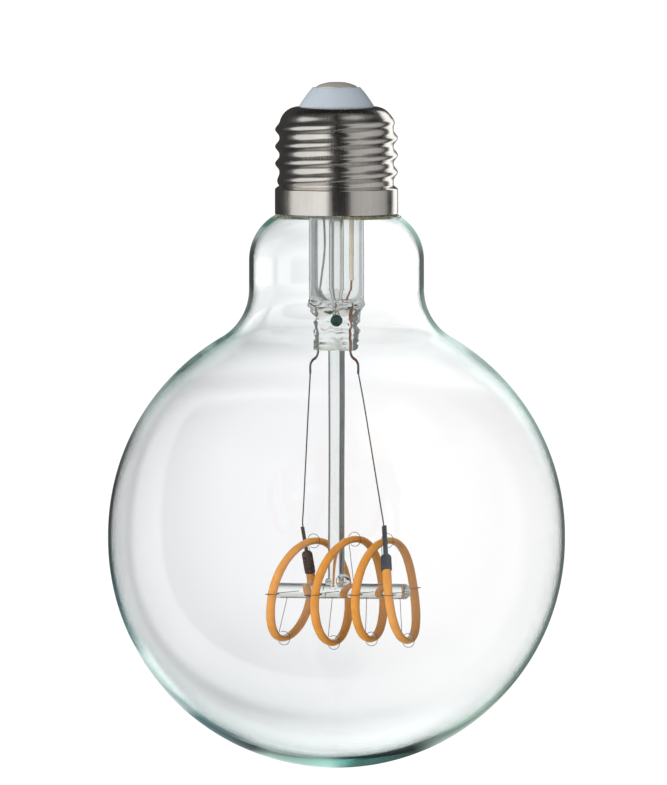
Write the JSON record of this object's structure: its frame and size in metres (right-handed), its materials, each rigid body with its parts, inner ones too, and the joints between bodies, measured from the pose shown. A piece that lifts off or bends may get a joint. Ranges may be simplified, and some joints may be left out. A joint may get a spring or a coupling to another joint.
{
  "type": "globe bulb",
  "caption": "Clear glass globe bulb with a nickel screw cap, a glass stem and a coiled amber LED filament held on a glass cross bar, unlit.",
  "frame": {"origin": "tip of the centre contact, on the lamp's axis", "axes": "+Z out of the cap along the lamp's axis, -Z down through the globe; +X to the right and -Y towards the viewer of the pictured side"},
  "size_m": [0.0974, 0.0972, 0.146],
  "materials": {
    "envelope_glass": "clear, polished",
    "stem_glass": "clear, fire polished",
    "cap_nickel": "satin nickel plate",
    "contact_nickel": "stamped, satin",
    "insulator_white": "smooth",
    "cement": "rough, baked",
    "filament_amber": "satin silicone",
    "terminal_dark": "heat stained",
    "terminal_grey": "satin",
    "anchor_wire": "drawn, dark",
    "lead_wire": "drawn",
    "feed_wire": "drawn",
    "sleeve_beige": "woven, dull",
    "board": "solder mask",
    "chip_black": "moulded",
    "capacitor_sleeve": "shrunk sleeve",
    "resistor_body": "lacquered",
    "hook_up_wire": "extruded"
  },
  "bodies": {
    "root": {"glass_globe": "envelope_glass", "glass_stem": "stem_glass", "lead_in_left": "lead_wire", "lead_in_right": "lead_wire", "lead_sleeve": "sleeve_beige", "feed_wire_left": "feed_wire", "feed_wire_right": "feed_wire", "filament_coil": "filament_amber", "terminal_left": "terminal_dark", "terminal_right": "terminal_grey", "anchor_bottom_1": "anchor_wire", "anchor_bottom_2": "anchor_wire", "anchor_bottom_3": "anchor_wire", "anchor_bottom_4": "anchor_wire", "anchor_front_1": "anchor_wire", "anchor_front_2": "anchor_wire", "anchor_front_3": "anchor_wire", "anchor_front_4": "anchor_wire", "anchor_top_1": "anchor_wire", "anchor_top_2": "anchor_wire", "anchor_top_3": "anchor_wire", "anchor_back_1": "anchor_wire", "anchor_back_2": "anchor_wire", "anchor_back_3": "anchor_wire", "cap_shell": "cap_nickel", "cap_insulator": "insulator_white", "centre_contact": "contact_nickel", "capping_cement": "cement", "driver_board": "board", "bridge_rectifier": "chip_black", "driver_chip": "chip_black", "smoothing_capacitor": "capacitor_sleeve", "fuse_resistor": "resistor_body", "contact_wire": "hook_up_wire", "shell_wire": "hook_up_wire"}
  },
  "joints": []
}
